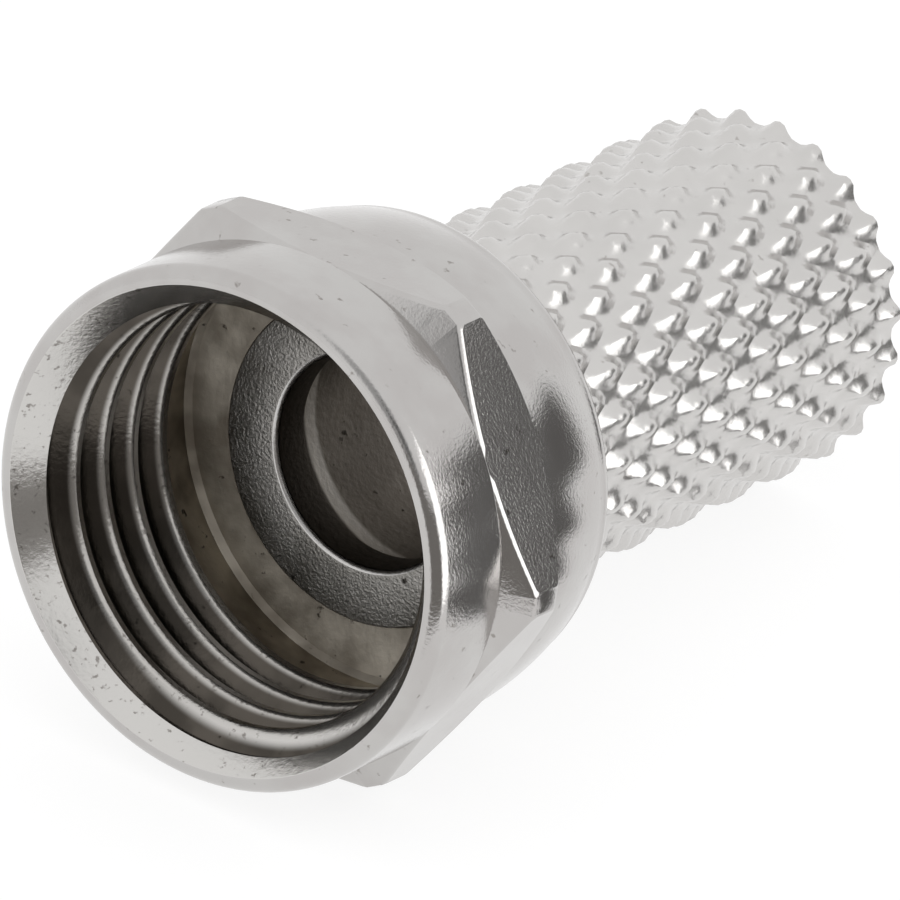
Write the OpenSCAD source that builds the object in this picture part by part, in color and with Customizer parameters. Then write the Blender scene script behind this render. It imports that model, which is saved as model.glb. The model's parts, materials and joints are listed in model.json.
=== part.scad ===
// Twist-on F connector for coaxial cable: a hexagon coupling nut that spins
// freely on a one-piece knurled sleeve. The connector lies as it rests on a
// table, on the side of its nut and on the rear end of its barrel.

/* [Coupling nut] */
// Length of the nut along its axis
nut_len = 6.8; // [6.4:0.1:8]
// Wall of the round collar outside the thread's root
collar_wall = 0.6; // [0.5:0.05:1.2]
// Length of the round collar
collar_len = 2.1; // [1.6:0.1:2.4]
// Length of the chamfer from the collar down to the hexagon
collar_chamfer = 0.14; // [0.05:0.01:0.3]
// Radius that rounds the collar's front lip
lip_round = 0.33; // [0.1:0.01:0.4]
// Width of the flat rim between the lip and the countersink
rim_land = 0.04; // [0.02:0.01:0.2]
// Wall between the thread's root and a flat of the hexagon
flat_wall = 0.5; // [0.4:0.05:1.2]
// Amount by which the hexagon's corners are turned down, across corners
corner_trim = 0.3; // [0.1:0.05:0.6]
// Length of the hexagon along the middle of a flat
hex_len = 1.8; // [1.6:0.1:2.2]
// Length of the chamfer in front of a hexagon corner
hex_front_chamfer = 0.36; // [0.2:0.02:0.5]
// Length of the chamfer behind a hexagon corner
hex_rear_chamfer = 0.66; // [0.3:0.02:0.8]
// Height of a flat's middle over the round body behind it
flat_rise = 0.04; // [0.02:0.01:0.06]
// Thickness of the wall that the crowned tail leaves over the thread's relief
tail_wall = 0.15; // [0.1:0.01:0.2]
// Radius that rounds the tail's rear corner
tail_round = 0.42; // [0.2:0.02:0.6]

/* [Coupling thread] */
// Nominal diameter of the metric coupling thread
thread_d = 10; // [9:0.1:14]
// Pitch of the coupling thread
thread_pitch = 1; // [0.75:0.05:1.25]
// Length of the threaded wall behind the countersink
thread_len = 3.55; // [2.5:0.05:3.6]
// Depth of the countersink at the mouth
countersink_depth = 1.15; // [0.3:0.05:1.2]
// Depth of the sloping floor behind the thread
floor_slope = 0.5; // [0.3:0.05:0.6]
// Thickness of the nut's rear wall
rear_wall = 0.55; // [0.45:0.05:0.8]

/* [Sleeve] */
// Length of the whole connector
overall_len = 18.8; // [16:0.1:24]
// Bore for the cable's inner insulation
bore_d = 4.62; // [3.8:0.02:5]
// Length of that bore
bore_len = 0.95; // [0.8:0.05:1.2]
// Chamfer on the bore's front edge
bore_chamfer = 0.14; // [0.05:0.01:0.25]
// Step from the bore out to the hole that grips the cable's jacket
jacket_step = 0.54; // [0.4:0.02:0.7]
// Chamfer at the rear mouth of the jacket hole
jacket_chamfer = 0.25; // [0.1:0.05:0.3]
// Wall of the neck that the nut spins on
neck_wall = 0.3; // [0.2:0.05:0.5]
// Width of the flange's lip, which keeps the nut on
flange_lip = 0.4; // [0.25:0.05:0.5]
// Thickness of the flange
flange_t = 0.9; // [0.7:0.05:1.2]
// Radial clearance between the nut and the neck
neck_clearance = 0.05; // [0.03:0.01:0.08]
// Free play of the nut along the axis
axial_play = 0.2; // [0.1:0.02:0.3]

/* [Knurl] */
// Wall of the barrel from the jacket hole to the bottom of the knurl
barrel_wall = 0.81; // [0.5:0.01:0.9]
// Depth of the knurl
knurl_depth = 0.24; // [0.16:0.02:0.4]
// Number of studs round the barrel
knurl_count = 24; // [18:1:28]
// Angle of the knurl's grooves to the axis
knurl_angle = 29.5; // [25:0.5:35]
// Height of a stud's shoulder as a share of the knurl's depth
knurl_shoulder = 0.66; // [0.4:0.02:0.8]
// Angle by which the knurl is turned round the barrel
knurl_turn = 9; // [0:0.5:15]
// Plain length in front of the knurl
knurl_margin = 0.3; // [0.2:0.05:0.8]

/* [Hidden] */
$fn = 96;
eps = 0.01;
nickel = [0.74, 0.73, 0.72];

// Neck and flange, which the nut's rear wall fits round and behind
neck_d = bore_d + 2 * (jacket_step + neck_wall);
flange_d = neck_d + 2 * flange_lip;

// Coupling nut, measured along the axis from the mouth
collar_d = thread_d + 2 * collar_wall;
nut_af = thread_d + 2 * flat_wall;
hex_front_z = collar_len + collar_chamfer;
hex_rear_z = hex_front_z + hex_len;
corner_r = nut_af / cos(30) / 2 - corner_trim / 2;
body_r = nut_af / 2 - flat_rise;
tail_end_r = thread_d / 2 + tail_wall;
tail_end_z = nut_len - tail_round;
tail_crown_start = hex_rear_z + 0.25;
tail_drop = body_r - tail_end_r;
tail_crown_r = (tail_drop * tail_drop + pow(tail_end_z - tail_crown_start, 2)) / (2 * tail_drop);
thread_minor_r = thread_d / 2 - 0.5413 * thread_pitch;
thread_grooves = floor(thread_len / thread_pitch);
first_groove_z = countersink_depth + (thread_len - (thread_grooves - 1) * thread_pitch) / 2;
thread_end_z = countersink_depth + thread_len;
mouth_r = collar_d / 2 - lip_round - rim_land;
floor_z = nut_len - rear_wall;
nut_hole_r = neck_d / 2 + neck_clearance;

// Sleeve, measured along the same axis and outwards from its bore
jacket_d = bore_d + 2 * jacket_step;
barrel_d = jacket_d + 2 * (barrel_wall + knurl_depth);
flange_back_z = floor_z - axial_play / 2;
contact_z = flange_back_z - flange_t;
bore_end_z = contact_z + bore_len;
shoulder_z = nut_len + axial_play / 2;

// Knurl: a grid of four steps for each stud, round the barrel and along it
knurl_z = shoulder_z + knurl_margin;
knurl_root_r = barrel_d / 2 - knurl_depth;
core_r = knurl_root_r - 0.03;
knurl_cols = 4 * knurl_count;
stud_pitch = PI * barrel_d / knurl_count / tan(knurl_angle);
knurl_rows = 2 * round((overall_len - knurl_z) / (stud_pitch / 2));
knurl_step = (overall_len - knurl_z) / knurl_rows;

// The nut touches down on the rear edge of a flat or on the crown of its tail,
// whichever reaches lower, and the barrel on the edge of its rear end
flat_tilt = atan((nut_af - barrel_d) / 2 / (overall_len - hex_rear_z));
crown_reach = [overall_len - tail_crown_start, barrel_d / 2 - body_r + tail_crown_r];
crown_tilt = asin(tail_crown_r / norm(crown_reach)) - atan2(crown_reach.y, crown_reach.x);
rest_tilt = max(flat_tilt, crown_tilt);

// Lays the axis along +Y, mouth forward, with the contact face's centre at the origin
module at_rest() {
    rotate([-90 - rest_tilt, 0, 0]) translate([0, 0, -contact_z]) children();
}

// Round collar with its rounded lip and the small chamfer behind it
module collar_section() {
    polygon([
        [0, 0],
        [collar_d / 2 - lip_round, 0],
        [collar_d / 2 - lip_round, lip_round],
        [collar_d / 2, lip_round],
        [collar_d / 2, collar_len],
        [body_r, hex_front_z],
        [0, hex_front_z]
    ]);
    translate([collar_d / 2 - lip_round, lip_round]) circle(r = lip_round);
}

// Crowned tail with its rounded rear corner
module tail_section() {
    translate([0, hex_front_z]) square([body_r, tail_crown_start - hex_front_z]);
    intersection() {
        translate([0, tail_crown_start - eps]) square([body_r, tail_end_z - tail_crown_start + eps]);
        translate([body_r - tail_crown_r, tail_crown_start]) circle(r = tail_crown_r, $fn = 360);
    }
    translate([0, tail_end_z - eps]) square([tail_end_r - tail_round, tail_round + eps]);
    translate([tail_end_r - tail_round, tail_end_z]) circle(r = tail_round);
}

// Hexagon, turned at both ends so that its flats have curved front and rear edges
module hexagon_body() {
    intersection() {
        translate([0, 0, hex_front_z]) cylinder(d = nut_af / cos(30), h = hex_len, $fn = 6);
        rotate_extrude() polygon([
            [0, hex_front_z],
            [nut_af / 2, hex_front_z],
            [corner_r, hex_front_z + hex_front_chamfer],
            [corner_r, hex_rear_z - hex_rear_chamfer],
            [nut_af / 2, hex_rear_z],
            [0, hex_rear_z]
        ]);
    }
}

// Section of one thread groove: 60 degree flanks and a flat root an eighth of the pitch wide
module groove_section() {
    polygon([
        [thread_minor_r - eps, -3 / 8 * thread_pitch],
        [thread_minor_r, -3 / 8 * thread_pitch],
        [thread_d / 2, -thread_pitch / 16],
        [thread_d / 2, thread_pitch / 16],
        [thread_minor_r, 3 / 8 * thread_pitch],
        [thread_minor_r - eps, 3 / 8 * thread_pitch]
    ]);
}

// Thread grooves, drawn as rings so that the crests between them stay a true round bore
module thread_rings() {
    rotate_extrude() for (turn = [0:thread_grooves - 1])
        translate([0, first_groove_z + turn * thread_pitch]) groove_section();
}

// Countersink, thread wall, relief, sloping floor and rear hole
module nut_hollow() {
    thread_rings();
    translate([0, 0, -eps]) cylinder(r1 = mouth_r + eps, r2 = thread_minor_r, h = countersink_depth + eps);
    cylinder(r = thread_minor_r, h = thread_end_z + eps);
    translate([0, 0, thread_end_z]) cylinder(d = thread_d, h = floor_z - floor_slope - thread_end_z);
    translate([0, 0, floor_z - floor_slope])
        cylinder(r1 = thread_d / 2, r2 = flange_d / 2 + 0.15, h = floor_slope);
    cylinder(r = nut_hole_r, h = nut_len + eps);
}

module coupling_nut() {
    color(nickel) at_rest() difference() {
        union() {
            rotate_extrude() {
                collar_section();
                tail_section();
            }
            hexagon_body();
        }
        nut_hollow();
    }
}

// Half-section of the sleeve inside its knurl
module sleeve_section() {
    difference() {
        polygon([
            [0, contact_z],
            [flange_d / 2, contact_z],
            [flange_d / 2, flange_back_z],
            [neck_d / 2, flange_back_z],
            [neck_d / 2, shoulder_z],
            [core_r, shoulder_z],
            [core_r, overall_len],
            [0, overall_len]
        ]);
        polygon([
            [-eps, contact_z - eps],
            [bore_d / 2 + bore_chamfer + eps, contact_z - eps],
            [bore_d / 2, contact_z + bore_chamfer],
            [bore_d / 2, bore_end_z],
            [jacket_d / 2, bore_end_z],
            [jacket_d / 2, overall_len - jacket_chamfer],
            [jacket_d / 2 + jacket_chamfer + eps, overall_len + eps],
            [-eps, overall_len + eps]
        ]);
    }
}

// Height of one helical row of studs, four steps from groove to groove
function ridge(step) = let(s = (step % 4 + 4) % 4) s == 0 ? 1 : s == 2 ? 0 : knurl_shoulder;
function knurl_r(col, row) = knurl_root_r + knurl_depth * min(ridge(col + row), ridge(col - row));
function ring_angle(col) = 360 * col / knurl_cols + knurl_turn;
function ring_point(r, col, z) = [r * cos(ring_angle(col)), r * sin(ring_angle(col)), z];

// Sleeve of crossing studs, closed inside the wall of the barrel
module knurl() {
    n = knurl_cols;
    inner_r = core_r - 0.15;
    outer = [for (row = [0:knurl_rows], col = [0:n - 1])
        ring_point(knurl_r(col, row), col, knurl_z + row * knurl_step)];
    inner = [for (end = [0, 1], col = [0:n - 1])
        ring_point(inner_r, col, end == 0 ? knurl_z : overall_len)];
    first_inner = len(outer);
    last_row = knurl_rows * n;
    skin = [for (row = [0:knurl_rows - 1], col = [0:n - 1])
        let(
            a = row * n + col,
            b = row * n + (col + 1) % n,
            c = a + n,
            d = b + n
        )
        each (floor(col / 2) + floor(row / 2)) % 2 == 0 ? [[a, c, b], [b, c, d]] : [[a, c, d], [a, d, b]]];
    rims = [for (col = [0:n - 1])
        let(
            next = (col + 1) % n,
            front = first_inner + col,
            front_next = first_inner + next,
            back = front + n,
            back_next = front_next + n
        )
        each [
            [col, next, front_next], [col, front_next, front],
            [last_row + col, back_next, last_row + next], [last_row + col, back, back_next],
            [front, front_next, back_next], [front, back_next, back]
        ]];
    polyhedron(points = concat(outer, inner), faces = concat(skin, rims), convexity = 10);
}

module knurled_sleeve() {
    color(nickel) at_rest() union() {
        rotate_extrude() sleeve_section();
        knurl();
    }
}

coupling_nut();
knurled_sleeve();
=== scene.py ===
"""Twist-on F connector: a coupling nut that spins on a knurled sleeve."""

import json
import math

import bmesh
import bpy
from mathutils import Matrix, Vector


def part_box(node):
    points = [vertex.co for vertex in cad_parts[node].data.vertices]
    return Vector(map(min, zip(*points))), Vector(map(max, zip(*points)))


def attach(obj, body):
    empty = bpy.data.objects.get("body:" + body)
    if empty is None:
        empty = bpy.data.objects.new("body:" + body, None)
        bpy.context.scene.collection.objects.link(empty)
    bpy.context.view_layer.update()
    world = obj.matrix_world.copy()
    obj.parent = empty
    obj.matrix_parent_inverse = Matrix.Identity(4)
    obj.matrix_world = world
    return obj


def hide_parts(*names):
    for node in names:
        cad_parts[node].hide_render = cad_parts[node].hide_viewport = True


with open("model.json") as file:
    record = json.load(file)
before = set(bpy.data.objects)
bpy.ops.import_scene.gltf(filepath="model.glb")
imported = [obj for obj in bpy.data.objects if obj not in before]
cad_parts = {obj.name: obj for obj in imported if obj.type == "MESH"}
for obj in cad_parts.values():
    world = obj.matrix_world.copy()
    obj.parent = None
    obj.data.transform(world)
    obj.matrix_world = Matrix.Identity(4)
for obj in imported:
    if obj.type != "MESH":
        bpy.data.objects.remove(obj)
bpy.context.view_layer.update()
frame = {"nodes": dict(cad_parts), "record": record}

# ---------------------------------------------------------------- coupling nut
# One piece turned from hexagon bar in brass and nickel plated: a round collar
# with a countersunk mouth, the hexagon, and a crowned tail closed by a rear wall.
# The M10 x 1 thread is cut inside; the nut hangs on the sleeve's neck by its wall.

MM = 0.001
STEPS = 192  # faces round every turned surface

mounts = {m["name"]: m for m in frame["record"]["mounts"]}
axis = Vector(mounts["cable_bore"]["axis"]).normalized()
# Work is done in millimetres on a lathe axis along Z, with the contact face at zero
to_row = Matrix.Scale(MM, 4) @ axis.to_track_quat("Z", "Y").to_matrix().to_4x4()
to_lathe = to_row.inverted()


def turned_size(node):
    """Front end, rear end and largest radius of a solid, in millimetres on the lathe axis."""
    points = [to_lathe @ v.co for v in frame["nodes"][node].data.vertices]
    return (
        min(p.z for p in points),
        max(p.z for p in points),
        max(math.hypot(p.x, p.y) for p in points),
    )


def mount_span(name):
    """Radius, front end and rear end of a mount's wall, in millimetres."""
    mount = mounts[name]
    middle = (to_lathe @ Vector(mount["pos_m"])).z
    half = mount["dims"]["length_mm"] / 2
    return mount["dims"]["r_mm"], middle - half, middle + half


def arc(r, z, radius, start, end, count):
    """Points on a rounded corner, angles in degrees from the radial direction."""
    turns = [math.radians(start + (end - start) * i / count) for i in range(count + 1)]
    return [(r + radius * math.cos(t), z + radius * math.sin(t)) for t in turns]


def turn(bm, profile):
    """Turns a line of (radius, station) points once round the lathe axis."""
    line = [bm.verts.new((r, 0, z)) for r, z in profile]
    edges = [bm.edges.new(pair) for pair in zip(line, line[1:])]
    bmesh.ops.spin(
        bm,
        geom=line + edges,
        cent=(0, 0, 0),
        axis=(0, 0, 1),
        dvec=(0, 0, 0),
        angle=2 * math.pi,
        steps=STEPS,
        use_merge=True,
    )


def make_piece(name, bm):
    """Makes an object from lathe work, its doubles merged and its faces turned outwards."""
    bmesh.ops.remove_doubles(bm, verts=bm.verts, dist=0.0005)
    bmesh.ops.recalc_face_normals(bm, faces=bm.faces)
    mesh = bpy.data.meshes.new(name)
    bm.to_mesh(mesh)
    bm.free()
    obj = bpy.data.objects.new(name, mesh)
    bpy.context.scene.collection.objects.link(obj)
    return obj


def thread_cutter(name, root_r, crest_r, pitch, start, end):
    """Right-hand helical cutter with a 60 degree section, which leaves a rounded crest."""
    flank = math.tan(math.radians(30))
    depth = root_r - crest_r
    root_half = pitch / 2 - pitch / 8 - depth * flank
    side = [
        (root_r - 0.01, root_half * 0.5),
        (root_r - 0.04, root_half + 0.02),
        (crest_r + 0.08, root_half + (depth - 0.08) * flank),
        (crest_r + 0.03, root_half + (depth - 0.03) * flank + 0.02),
        (crest_r - 0.001, root_half + depth * flank + 0.06),
        (crest_r - 0.08, root_half + depth * flank + 0.10),
    ]
    section = [(r, -z) for r, z in reversed(side)] + side
    turns = (end - start) / pitch
    steps = round(turns * STEPS)
    bm = bmesh.new()
    line = [bm.verts.new((r, 0, start + z)) for r, z in section]
    edges = [bm.edges.new(pair) for pair in zip(line, line[1:] + line[:1])]
    bmesh.ops.spin(
        bm,
        geom=line + edges,
        cent=(0, 0, 0),
        axis=(0, 0, 1),
        dvec=(0, 0, pitch * turns / steps),
        angle=2 * math.pi * turns,
        steps=steps,
    )
    ends = [e for e in bm.edges if e.is_boundary]
    bmesh.ops.holes_fill(bm, edges=ends, sides=0)
    return make_piece(name, bm)


def cut_thread(obj, cutter):
    """Cuts the thread and keeps the result as the piece's own mesh."""
    cut = obj.modifiers.new("thread", "BOOLEAN")
    cut.operation = "DIFFERENCE"
    cut.solver = "MANIFOLD"
    cut.object = cutter
    bpy.context.view_layer.update()
    evaluated = obj.evaluated_get(bpy.context.evaluated_depsgraph_get())
    mesh = bpy.data.meshes.new_from_object(evaluated)
    obj.modifiers.clear()
    obj.data = mesh
    bpy.data.objects.remove(cutter)


def place(obj, node, body):
    """Moves lathe work into the row frame and lets it stand for the CAD solid."""
    sharp_from = 27  # degrees; the countersink meets the thread at about 30
    obj.data.transform(to_row)
    obj.data.shade_smooth()
    obj.data.set_sharp_from_angle(angle=math.radians(sharp_from))
    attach(obj, body)
    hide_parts(node)


nut_front, nut_rear, corner_r = turned_size("coupling_nut")
minor_r, thread_front, thread_rear = mount_span("coupling_thread")
thread_pitch = 1.0
root_r = minor_r + 0.5413 * thread_pitch

collar_wall = 0.6
collar_r = root_r + collar_wall
collar_waist = nut_front + 1.2
collar_end = nut_front + 2.1
collar_corner = 0.06
lip_round = 0.33
rim_land = 0.04
rim_break = 0.02
mouth_r = collar_r - lip_round - rim_land
cone_end = thread_front - 0.15
cone_slope = (mouth_r - minor_r) / (cone_end - nut_front)

hex_front = nut_front + 2.24
hex_rear = hex_front + 1.8
hex_front_chamfer = 0.36
hex_rear_chamfer = 0.66
flat_wall = 0.5
flat_rise = 0.04
flat_r = root_r + flat_wall
body_r = flat_r - flat_rise
corner_break = 0.02  # the turned corners are eased by this much
flat_inset = 0.0005  # keeps the flats just inside the bar's own
edge_round = 0.09
edge_reach = 0.9  # only the front edge of a flat is rounded

tail_wall = 0.15
tail_round = 0.42
tail_r = root_r + tail_wall
tail_end = nut_rear - tail_round
tail_drop = body_r - tail_r
crown_start = hex_rear + 0.25
crown_length = tail_end - crown_start
crown_r = (tail_drop**2 + crown_length**2) / (2 * tail_drop)
crown_points = 10

rear_wall = 0.55
floor_z = nut_rear - rear_wall
relief_r = root_r + 0.02
floor_ring_r = root_r - 0.1
nut_hole_r = 3.2
hole_break = 0.05

# The hexagon's turned blank: its chamfers run out at the corners
corner_share = (corner_r - corner_break - flat_r) / (corner_r - flat_r)
nut = bmesh.new()
turn(
    nut,
    [
        (body_r, hex_front),
        (flat_r, hex_front),
        (corner_r - corner_break, hex_front + hex_front_chamfer * corner_share),
        (corner_r, hex_front + hex_front_chamfer + 0.04),
        (corner_r, hex_rear - hex_rear_chamfer - 0.04),
        (corner_r - corner_break, hex_rear - hex_rear_chamfer * corner_share),
        (flat_r, hex_rear),
        (body_r, hex_rear),
    ],
)
# Six flats are cut off the blank, and each one's front edge is rounded
for side in range(6):
    turn_to = math.radians(30 + 60 * side)
    out = Vector((math.cos(turn_to), math.sin(turn_to), 0))
    cut = bmesh.ops.bisect_plane(
        nut,
        geom=nut.verts[:] + nut.edges[:] + nut.faces[:],
        dist=1e-5,
        plane_co=out * (flat_r - flat_inset),
        plane_no=out,
        clear_outer=True,
    )
    rim = [g for g in cut["geom_cut"] if isinstance(g, bmesh.types.BMEdge)]
    bmesh.ops.holes_fill(nut, edges=rim, sides=0)
flat_edges = [
    e
    for e in nut.edges
    if len(e.link_faces) == 2
    and sum(len(f.verts) > 8 for f in e.link_faces) == 1
    and all(math.hypot(v.co.x, v.co.y) > flat_r + 0.01 for v in e.verts)
    and max(v.co.z for v in e.verts) < hex_front + edge_reach
]
bmesh.ops.bevel(
    nut,
    geom=flat_edges,
    offset=edge_round,
    offset_type="OFFSET",
    segments=3,
    profile=0.5,
    affect="EDGES",
    clamp_overlap=False,
    material=-1,
)

# Collar, lip, countersink, bore, relief, rear wall and crowned tail in one line
crown = [
    (
        body_r - crown_r + math.sqrt(crown_r**2 - crown_length**2 * (i / crown_points) ** 2),
        crown_start + crown_length * i / crown_points,
    )
    for i in range(crown_points + 1)
]
turn(
    nut,
    [(body_r, hex_front), (collar_r - 0.04, collar_end + collar_corner)]
    + arc(collar_r - collar_corner, collar_end, collar_corner, 30, 0, 3)
    + [(collar_r, collar_waist)]
    + arc(collar_r - lip_round, nut_front + lip_round, lip_round, 0, -90, 10)
    + arc(mouth_r, nut_front + rim_break, rim_break, -90, -150, 2)
    + [
        (minor_r + 0.02, cone_end - 0.02),
        (minor_r, cone_end + 0.02),
        (minor_r, thread_rear),
        (relief_r, thread_rear + 0.02),
        (relief_r, floor_z - 0.5),
        (floor_ring_r, floor_z - 0.36),
        (nut_hole_r + 0.55, floor_z),
        (nut_hole_r, floor_z),
        (nut_hole_r, nut_rear - hole_break),
        (nut_hole_r + hole_break, nut_rear),
        (tail_r - tail_round, nut_rear),
    ]
    + arc(tail_r - tail_round, tail_end, tail_round, 90, 5, 8)
    + crown[::-1]
    + [(body_r, hex_rear)],
)
nut_piece = make_piece("nut", nut)
# The tap enters ahead of the mouth, so that the groove fades out on the countersink
tap_start = nut_front - 1.15
tap_end = thread_rear + 0.3
cut_thread(
    nut_piece,
    thread_cutter("nut_thread", root_r - 0.01, minor_r, thread_pitch, tap_start, tap_end),
)


def linear(hex_colour):
    """sRGB hex to linear red, green, blue and alpha."""
    parts = [int(hex_colour[i : i + 2], 16) / 255 for i in (1, 3, 5)]
    return tuple(c / 12.92 if c <= 0.04045 else ((c + 0.055) / 1.055) ** 2.4 for c in parts) + (1.0,)


def add_node(tree, kind, inputs=(), **settings):
    """Adds a node and its settings; an input is a plain value or another node's output."""
    made = tree.nodes.new(kind)
    for key, value in settings.items():
        setattr(made, key, value)
    for key, value in dict(inputs).items():
        if isinstance(value, bpy.types.NodeSocket):
            tree.links.new(value, made.inputs[key])
        else:
            made.inputs[key].default_value = value
    return made


def plating(name, tones, roughness, grain_mm, peel_um, stains=None):
    """Nickel plate: two clouded tones, dark specks in the third, and a skin that isn't quite flat."""
    clouds_mm = 1.6  # slow drift of tone where the bath ran unevenly
    specks_mm = 0.30  # pin-pricks in the plate
    material = bpy.data.materials.new(name)
    material.use_nodes = True
    tree = material.node_tree
    tree.nodes.clear()
    spot = add_node(tree, "ShaderNodeTexCoord").outputs["Object"]
    colour = linear(tones[0])
    for size_mm, low, high, tone in (
        (clouds_mm, 0.35, 0.65, tones[1]),
        (specks_mm, 0.66, 0.74, tones[2]),
    ):
        noise = add_node(
            tree,
            "ShaderNodeTexNoise",
            {"Vector": spot, "Scale": 1 / (size_mm * MM), "Detail": 3.0, "Roughness": 0.55},
        )
        share = add_node(
            tree,
            "ShaderNodeMapRange",
            {"Value": noise.outputs["Fac"], "From Min": low, "From Max": high},
            interpolation_type="SMOOTHSTEP",
        )
        mix = add_node(
            tree,
            "ShaderNodeMix",
            {0: share.outputs["Result"], 6: colour, 7: linear(tone)},
            data_type="RGBA",
        )
        colour = mix.outputs[2]
    if stains:
        colour = stains(tree, spot, colour)
    peel = add_node(
        tree,
        "ShaderNodeTexNoise",
        {"Vector": spot, "Scale": 1 / (grain_mm * MM), "Detail": 3.0, "Roughness": 0.6},
    )
    bump = add_node(
        tree,
        "ShaderNodeBump",
        {"Height": peel.outputs["Fac"], "Strength": 1.0, "Distance": peel_um * 1e-6},
    )
    shader = add_node(
        tree,
        "ShaderNodeBsdfPrincipled",
        {
            "Base Color": colour,
            "Normal": bump.outputs["Normal"],
            "Metallic": 1.0,
            "Roughness": roughness,
        },
    )
    add_node(tree, "ShaderNodeOutputMaterial", {"Surface": shader.outputs["BSDF"]})
    return material


def along_and_across(tree, spot):
    """Station along the lathe axis and distance from it, in metres."""
    station = add_node(
        tree, "ShaderNodeVectorMath", {0: spot, 1: axis}, operation="DOT_PRODUCT"
    )
    foot = add_node(tree, "ShaderNodeVectorMath", {0: spot, 1: axis}, operation="PROJECT")
    out = add_node(
        tree, "ShaderNodeVectorMath", {0: spot, 1: foot.outputs["Vector"]}, operation="SUBTRACT"
    )
    reach = add_node(tree, "ShaderNodeVectorMath", {0: out.outputs["Vector"]}, operation="LENGTH")
    return station.outputs["Value"], reach.outputs["Value"]


def bore_painted_light_and_nicks(tree, spot, colour):
    """Paints a highlight on the countersink and the thread's crests, brighter towards the mouth and
    flecked with real nicks; deeper in the grooves the flanks keep the bore's dark tone, partly thin
    plate and partly painted shade.
    """
    station, reach = along_and_across(tree, spot)
    # Depth behind the line of the countersink and the crests, which sets where the painted highlight
    # gives way to painted shade
    cone = add_node(
        tree,
        "ShaderNodeMath",
        {0: station, 1: -cone_slope, 2: (mouth_r + nut_front * cone_slope) * MM},
        operation="MULTIPLY_ADD",
    )
    line = add_node(
        tree, "ShaderNodeMath", {0: cone.outputs["Value"], 1: minor_r * MM}, operation="MAXIMUM"
    )
    depth = add_node(
        tree, "ShaderNodeMath", {0: reach, 1: line.outputs["Value"]}, operation="SUBTRACT"
    )
    # The painted highlight is brighter towards the mouth, where more light gets in
    mouth_highlight_share = add_node(
        tree,
        "ShaderNodeMapRange",
        {
            "Value": station,
            "From Min": (nut_front + 1.2) * MM,
            "From Max": (nut_front + 0.6) * MM,
        },
        interpolation_type="SMOOTHSTEP",
    )
    bright = add_node(
        tree,
        "ShaderNodeMix",
        {0: mouth_highlight_share.outputs["Result"], 6: linear("#B9B6B2"), 7: linear("#CCCAC7")},
        data_type="RGBA",
    )
    # Nicks left by the port's own thread, about 0.16 mm across
    noise = add_node(
        tree,
        "ShaderNodeTexNoise",
        {"Vector": spot, "Scale": 1 / (0.16 * MM), "Detail": 3.0, "Roughness": 0.55},
    )
    nicks = add_node(
        tree,
        "ShaderNodeMapRange",
        {"Value": noise.outputs["Fac"], "From Min": 0.60, "From Max": 0.72},
        interpolation_type="SMOOTHSTEP",
    )
    crest = add_node(
        tree,
        "ShaderNodeMix",
        {0: nicks.outputs["Result"], 6: bright.outputs[2], 7: linear("#8E8A86")},
        data_type="RGBA",
    )
    # Only the tops of the crests and the countersink take the painted highlight; deeper down the dark
    # base tone stays as painted shade
    crest_highlight_share = add_node(
        tree,
        "ShaderNodeMapRange",
        {"Value": depth.outputs["Value"], "From Min": 0.15 * MM, "From Max": 0.03 * MM},
        interpolation_type="SMOOTHSTEP",
    )
    return add_node(
        tree,
        "ShaderNodeMix",
        {0: crest_highlight_share.outputs["Result"], 6: colour, 7: crest.outputs[2]},
        data_type="RGBA",
    ).outputs[2]


# Bright nickel: near-mirror plate on a polished turning, rippled by a few micrometres
outer = plating("bright_nickel_plate", ("#BFBDBB", "#B9B6B4", "#96928E"), 0.13, 0.075, 5.0)
# The bath throws little nickel into a bore, so the flanks stay brown and dull; their dark tone is
# also painted shade of the deep bore
bore = plating(
    "thin_nickel_in_bore", ("#57524C", "#433F3A", "#2A2723"), 0.20, 0.12, 6.0, bore_painted_light_and_nicks
)
# Behind the thread there is almost none: matt, mottled brass, yellowed only slightly
relief = plating("bare_brass_in_relief", ("#E0D8CA", "#A1988B", "#5C554D"), 0.48, 0.30, 12.0)
nut_piece.data.materials.clear()
for material in (outer, bore, relief):
    nut_piece.data.materials.append(material)
for face in nut_piece.data.polygons:
    outward = face.normal.x * face.center.x + face.normal.y * face.center.y
    within = math.hypot(*face.center.xy) < mouth_r and face.center.z < floor_z + 0.01
    inside = outward < 0.2 and within
    face.material_index = int(inside) + int(inside and face.center.z > thread_rear + 0.2)
place(nut_piece, "coupling_nut", "nut")
# The milled flats stay truly flat up to their rounded edges
for face in nut_piece.data.polygons:
    if len(face.vertices) > 8 and abs(face.normal.dot(axis)) < 0.01:
        face.use_smooth = False

# --------------------------------------------------------------- knurled sleeve
# One turned brass piece, nickel plated: the flange that keeps the nut on, its
# neck, and the barrel with a pressed diamond knurl for the fingers. A coarse
# thread inside the barrel bites into the cable's jacket.

sleeve_front, sleeve_rear, barrel_r = turned_size("knurled_sleeve")
bore_r = mount_span("centre_bore")[0]
jacket_r = mount_span("cable_bore")[0]
bore_end = sleeve_front + 0.95
bore_round = 0.14
neck_r = 3.15
flange_r = 3.55
flange_back = sleeve_front + 0.9
flange_round = 0.06
flange_break = 0.05
shoulder_z = nut_rear + 0.1
knurl_front = shoulder_z + 0.3
knurl_depth = 0.24
knurl_r = barrel_r - knurl_depth
core_r = knurl_r - 0.03
shoulder_break = 0.05
rear_chamfer = 0.25
rear_face_r = jacket_r + 0.5
stud_count = 24
stud_rows = 6.5
stud_length = (sleeve_rear - knurl_front) / stud_rows
knurl_turn = math.radians(9)
pad_edge = 0.9  # share of a stud's half-width that its rounded side takes up

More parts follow.
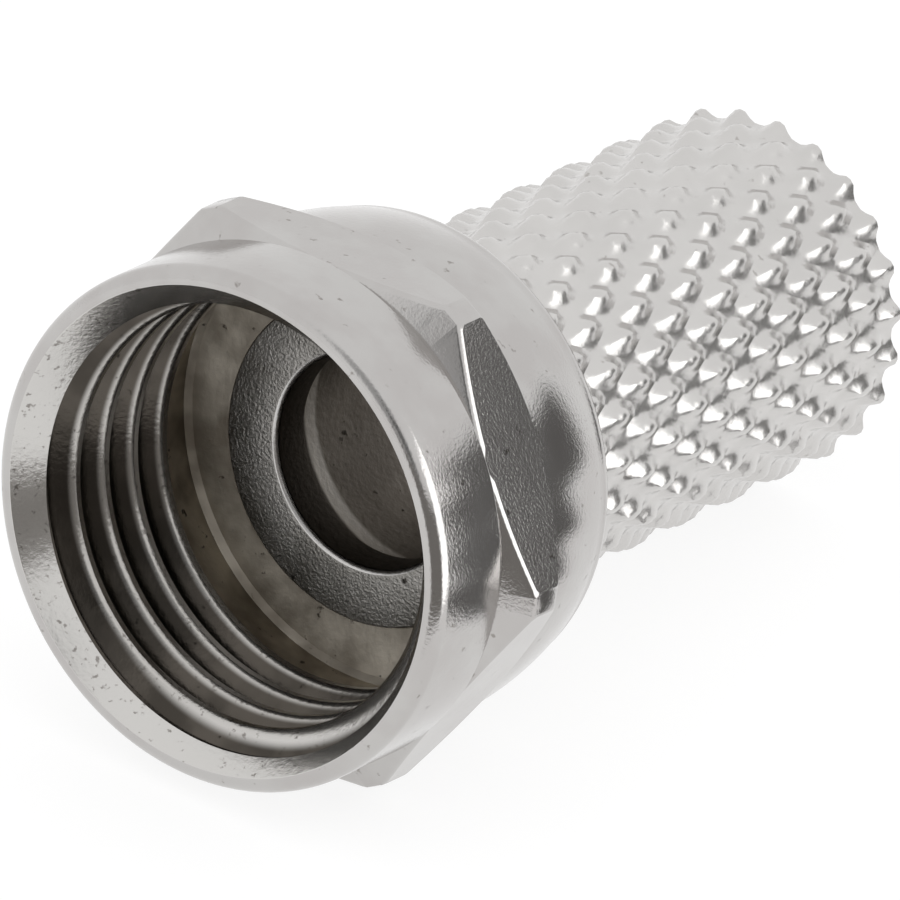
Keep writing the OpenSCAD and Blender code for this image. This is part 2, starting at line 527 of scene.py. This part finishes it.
# One stud: a diamond pad, domed towards the grooves on its four sides
stud = bmesh.new()
bmesh.ops.create_grid(stud, x_segments=8, y_segments=8, size=1)
for v in stud.verts:
    rise = 1.0
    for across in v.co.xy:
        step = min(1.0, (1 - abs(across)) / pad_edge)
        rise *= step * step * (3 - 2 * step)
    v.co = ((v.co.x + v.co.y) / 4, (v.co.x - v.co.y) / 4, rise)
stud_mesh = bpy.data.meshes.new("stud")
stud.to_mesh(stud_mesh)
stud.free()

# The studs are laid out flat, in stud widths and lengths, trimmed and rolled round
sheet = bmesh.new()
for row in range(int(2 * stud_rows) + 2):
    for column in range(stud_count):
        before = len(sheet.verts)
        sheet.from_mesh(stud_mesh)
        sheet.verts.ensure_lookup_table()
        shift = (column + 0.5 * (row % 2), 0.5 * row, 0)
        bmesh.ops.translate(sheet, verts=sheet.verts[before:], vec=shift)
bpy.data.meshes.remove(stud_mesh)
for end, way in ((0, -1), (stud_rows, 1)):
    bmesh.ops.bisect_plane(
        sheet,
        geom=sheet.verts[:] + sheet.edges[:] + sheet.faces[:],
        dist=1e-6,
        plane_co=(0, end, 0),
        plane_no=(0, way, 0),
        clear_outer=True,
    )
for v in sheet.verts:
    turn_by = 2 * math.pi * v.co.x / stud_count + knurl_turn
    r = knurl_r + knurl_depth * v.co.z
    v.co = (r * math.cos(turn_by), r * math.sin(turn_by), knurl_front + v.co.y * stud_length)
bmesh.ops.remove_doubles(sheet, verts=sheet.verts, dist=0.0005)
# Its front and rear edges are faced off down to the core
for end_z, inner_r in ((knurl_front, core_r), (sleeve_rear, rear_face_r)):
    border = [
        e
        for e in sheet.edges
        if e.is_boundary and all(abs(v.co.z - end_z) < 1e-4 for v in e.verts)
    ]
    grown = bmesh.ops.extrude_edge_only(sheet, edges=border)
    for v in grown["geom"]:
        if isinstance(v, bmesh.types.BMVert):
            v.co.xy = v.co.xy.normalized() * inner_r

# Shoulder, neck, flange, insulation bore and jacket bore in one line
turn(
    sheet,
    [
        (core_r, knurl_front),
        (core_r, shoulder_z + shoulder_break),
        (core_r - shoulder_break, shoulder_z),
        (neck_r, shoulder_z),
        (neck_r, flange_back),
        (flange_r - flange_break, flange_back),
        (flange_r, flange_back - flange_break),
    ]
    + arc(flange_r - flange_round, sleeve_front + flange_round, flange_round, 0, -90, 4)
    + arc(bore_r + bore_round, sleeve_front + bore_round, bore_round, -90, -180, 5)
    + [
        (bore_r, bore_end),
        (jacket_r, bore_end),
        (jacket_r, sleeve_rear - rear_chamfer),
        (jacket_r + rear_chamfer, sleeve_rear),
        (rear_face_r, sleeve_rear),
    ],
)
sleeve_piece = make_piece("sleeve", sheet)
# The jacket thread: coarse and shallow, from behind its drilled seat out of the rear end
jacket_pitch = 1.25
jacket_depth = 0.32
jacket_tap_start = 2.8
jacket_tap_end = sleeve_rear + 1.4
cut_thread(
    sleeve_piece,
    thread_cutter(
        "jacket_thread",
        jacket_r + jacket_depth,
        jacket_r,
        jacket_pitch,
        jacket_tap_start,
        jacket_tap_end,
    ),
)


def barrel_painted_light(tree, spot, colour):
    """A painted highlight ring on the drilled seat, between the bore wall darkened by painted shade
    and the dull thread.
    """
    station = along_and_across(tree, spot)[0]
    # The light band is a painted highlight; the dark band in front of it is painted shade behind the
    # bore's step
    for fade_start, fade_end, tone in ((2.20, 2.05, "#E2E0DD"), (1.80, 1.68, "#5E5A55")):
        share = add_node(
            tree,
            "ShaderNodeMapRange",
            {"Value": station, "From Min": fade_start * MM, "From Max": fade_end * MM},
            interpolation_type="SMOOTHSTEP",
        )
        mix = add_node(
            tree,
            "ShaderNodeMix",
            {0: share.outputs["Result"], 6: colour, 7: linear(tone)},
            data_type="RGBA",
        )
        colour = mix.outputs[2]
    return colour


# The knurl is plated as it was pressed: satin, with little ripple left on the pads
knurl = plating(
    "nickel_plate_on_knurl", ("#CFCDCB", "#CBC9C7", "#B4B1AE"), 0.27, 0.10, 4.0
)
# The contact face is faced off and left gritty, so that it sparkles
faced = plating(
    "gritty_nickel_on_flange", ("#B4B1AD", "#94918C", "#4E4B47"), 0.30, 0.07, 24.0
)
# Inside the barrel the plate is thin and dull, and its dark tone is also painted shade of the bore
jacket = plating(
    "dull_nickel_in_barrel",
    ("#96918B", "#827D77", "#4A4641"),
    0.30,
    0.15,
    8.0,
    barrel_painted_light,
)
sleeve_piece.data.materials.clear()
for material in (knurl, faced, jacket):
    sleeve_piece.data.materials.append(material)
for face in sleeve_piece.data.polygons:
    reach = math.hypot(face.center.x, face.center.y)
    if face.center.z > sleeve_front + 0.1 and reach < jacket_r + jacket_depth + 0.01:
        face.material_index = 2
    elif face.center.z < sleeve_front + 0.01 and reach < flange_r - 0.02:
        face.material_index = 1
place(sleeve_piece, "knurled_sleeve", "sleeve")

# ----------------------------------------------------------------------- table
# A broad sheet of matt white paper, lit evenly. It reads as pure white to the
# lens and in the metal, and keeps the soft shadow where the connector rests.

ground = min(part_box("coupling_nut")[0].z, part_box("knurled_sleeve")[0].z)
table_gap = 0.00002
table_half = 1.5
paper_glow = 0.83
bm = bmesh.new()
bmesh.ops.create_grid(bm, x_segments=1, y_segments=1, size=table_half)
bmesh.ops.translate(bm, verts=bm.verts, vec=(0, 0, ground - table_gap))
table_mesh = bpy.data.meshes.new("table")
bm.to_mesh(table_mesh)
bm.free()
table = bpy.data.objects.new("table", table_mesh)
bpy.context.scene.collection.objects.link(table)
white = bpy.data.materials.new("white_table")
white.use_nodes = True
tree = white.node_tree
tree.nodes.clear()
rays = add_node(tree, "ShaderNodeLightPath")
seen = add_node(
    tree,
    "ShaderNodeMath",
    {0: rays.outputs["Is Camera Ray"], 1: rays.outputs["Is Glossy Ray"]},
    operation="MAXIMUM",
)
share = add_node(
    tree, "ShaderNodeMath", {0: seen.outputs["Value"], 1: paper_glow}, operation="MULTIPLY"
)
paper = add_node(tree, "ShaderNodeBsdfDiffuse", {"Color": linear("#848484")})
glow = add_node(
    tree,
    "ShaderNodeEmission",
    {"Color": linear("#FFFFFF"), "Strength": share.outputs["Value"]},
)
both = add_node(
    tree, "ShaderNodeAddShader", {0: paper.outputs["BSDF"], 1: glow.outputs["Emission"]}
)
add_node(tree, "ShaderNodeOutputMaterial", {"Surface": both.outputs["Shader"]})
table_mesh.materials.append(white)

# ------------------------------------------------------------------------ tent
# A white cloth tent all round gives the plain soft light. It is open behind the
# lens, where the metal sees a dimmer room.


def towards(azimuth, elevation):
    """A direction in degrees: azimuth 0 is along +Y and 90 along +X."""
    a, e = math.radians(azimuth), math.radians(elevation)
    return Vector((math.sin(a) * math.cos(e), math.cos(a) * math.cos(e), math.sin(e)))


tent = bpy.data.worlds.new("tent")
bpy.context.scene.world = tent
tent.use_nodes = True
tree = tent.node_tree
tree.nodes.clear()
way = add_node(tree, "ShaderNodeTexCoord").outputs["Generated"]
light = linear("#FFFFFF")
# Azimuth, elevation, full out to, faded at, and how bright the opening is
for azimuth, elevation, full, faded, dim in ((160, 34, 14, 30, 0.5), (150, 30, 8, 12, 0.20)):
    facing = add_node(
        tree,
        "ShaderNodeVectorMath",
        {0: way, 1: towards(azimuth, elevation)},
        operation="DOT_PRODUCT",
    )
    opening = add_node(
        tree,
        "ShaderNodeMapRange",
        {
            "Value": facing.outputs["Value"],
            "From Min": math.cos(math.radians(faded)),
            "From Max": math.cos(math.radians(full)),
        },
        interpolation_type="SMOOTHSTEP",
    )
    mix = add_node(
        tree,
        "ShaderNodeMix",
        {0: opening.outputs["Result"], 6: light, 7: (dim, dim, dim, 1)},
        data_type="RGBA",
    )
    light = mix.outputs[2]
rays = add_node(tree, "ShaderNodeLightPath")
seen = add_node(
    tree,
    "ShaderNodeMix",
    {0: rays.outputs["Is Camera Ray"], 6: light, 7: linear("#FFFFFF")},
    data_type="RGBA",
)
back = add_node(tree, "ShaderNodeBackground", {"Color": seen.outputs[2], "Strength": 1.0})
add_node(tree, "ShaderNodeOutputWorld", {"Surface": back.outputs["Background"]})
bpy.context.scene.view_settings.view_transform = "Standard"

# ----------------------------------------------------------------------- cards
# Bent cards stand and lie round the connector, where only the metal sees them:
# black ones draw the dark patches on the collar, the flat and the tail, and the
# white one beside them draws the bright edges and the glints on the studs.

table_z = ground / MM + 0.03
wall_width = 0.5


def card(name, start, end, inner, far, top, colour, strength):
    """A card bent round the origin in mm and degrees: flat on the table, then up to top."""
    profile = [(inner, table_z), (far, table_z)] + [(far, top)] * (top > table_z)
    first = math.radians(start)
    bm = bmesh.new()
    line = [bm.verts.new((r * math.sin(first), r * math.cos(first), z)) for r, z in profile]
    edges = [bm.edges.new(pair) for pair in zip(line, line[1:])]
    bmesh.ops.spin(
        bm,
        geom=line + edges,
        cent=(0, 0, 0),
        axis=(0, 0, 1),
        angle=-math.radians(end - start),
        steps=24,
    )
    bmesh.ops.scale(bm, verts=bm.verts, vec=(MM, MM, MM))
    mesh = bpy.data.meshes.new(name)
    bm.to_mesh(mesh)
    bm.free()
    obj = bpy.data.objects.new(name, mesh)
    bpy.context.scene.collection.objects.link(obj)
    material = bpy.data.materials.new(name)
    material.use_nodes = True
    tree = material.node_tree
    tree.nodes.clear()
    glow = add_node(tree, "ShaderNodeEmission", {"Color": linear(colour), "Strength": strength})
    add_node(tree, "ShaderNodeOutputMaterial", {"Surface": glow.outputs["Emission"]})
    mesh.materials.append(material)
    obj.visible_camera = False
    obj.visible_diffuse = False
    obj.visible_shadow = False


black = "#6E6D6C"
card("black_card", 27, 50, 40, 40 + wall_width, 12.6, black, 1.0)
card("black_side", 50, 57, 40, 40 + wall_width, 7.0, black, 1.0)
card("black_apron", 41, 62, 17, 40, table_z, black, 1.0)
card("black_foot", 52, 72, 11, 20, table_z, black, 1.0)
card("light_card", 52, 100, 41, 41 + wall_width, 28, "#FFFFFF", 2.4)
card("light_apron", 60, 100, 26, 41, table_z, "#FFFFFF", 2.4)
card("dark_card", 106, 168, 24, 40, 15, "#8A8784", 1.0)

# ---------------------------------------------------------------------- camera
# A long lens from the front right and above, rolled a little, aimed just past
# the contact face.

right = Vector((0.798900, 0.595762, 0.082622))
down = Vector((0.361055, -0.365163, -0.858077))
ahead = Vector((-0.481039, 0.715348, -0.506832))
distance = 0.6
view_width = 0.0184396
sensor = 36.0
camera_data = bpy.data.cameras.new("camera")
camera_data.sensor_width = sensor
camera_data.lens = sensor * distance / view_width
camera_data.clip_start = 0.05
camera_data.clip_end = 10
camera = bpy.data.objects.new("camera", camera_data)
bpy.context.scene.collection.objects.link(camera)
bpy.context.scene.camera = camera
stand = right * 0.00169788 - down * 0.00026020 - ahead * distance
turned = Matrix((right, -down, -ahead)).transposed().to_4x4()
camera.matrix_world = Matrix.Translation(stand) @ turned
